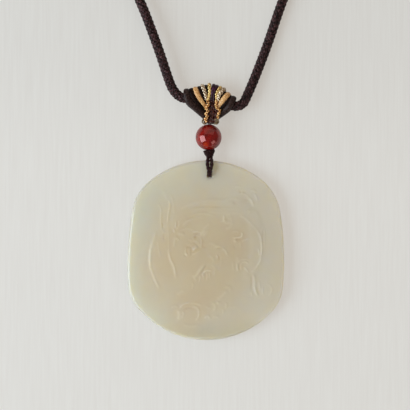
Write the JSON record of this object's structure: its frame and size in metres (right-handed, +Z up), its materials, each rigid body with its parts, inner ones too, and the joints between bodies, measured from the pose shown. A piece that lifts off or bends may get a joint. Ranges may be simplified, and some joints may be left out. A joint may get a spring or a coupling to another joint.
{
  "type": "pendant necklace",
  "caption": "Jade pendant with a raised dragon on a knotted cord: a drilled plaque, a round agate bead, a fan of satin and metallic strands and a braided neck loop.",
  "frame": {"origin": "middle of the plaque's flat back, on the surface that it lies on", "axes": "+Y from the plaque towards the neck, +Z up out of the plaque's carved front, +X to the right as seen from the front"},
  "size_m": [0.152, 0.3125, 0.008],
  "materials": {
    "jade": "polished nephrite, slightly translucent",
    "agate": "highly polished agate",
    "waxed_thread": "waxed black thread, wound",
    "dark_satin": "dark satin cord",
    "plum_satin": "plum black satin cord",
    "tan_satin": "golden tan satin cord",
    "silver_thread": "twisted silver metallic thread",
    "gold_thread": "twisted gold metallic thread",
    "braided_cord": "dark braided nylon cord, matt"
  },
  "bodies": {
    "root": {"jade_plaque": "jade", "agate_bead": "agate", "bead_thread": "waxed_thread", "bead_knot": "waxed_thread", "thread_strand_left": "waxed_thread", "thread_strand_right": "waxed_thread", "knot_column": "dark_satin", "gold_edge_left": "gold_thread", "gold_edge_right": "gold_thread", "end_loop_left": "dark_satin", "end_loop_right": "dark_satin", "fan_dark_left": "dark_satin", "fan_black_left": "dark_satin", "fan_tan_left": "tan_satin", "fan_silver_left": "silver_thread", "fan_gold_left": "gold_thread", "fan_plum_left": "plum_satin", "fan_plum_right": "plum_satin", "fan_gold_right": "gold_thread", "fan_silver_right": "silver_thread", "fan_tan_right": "tan_satin", "fan_dark_right": "dark_satin", "neck_cord": "braided_cord"}
  },
  "joints": []
}
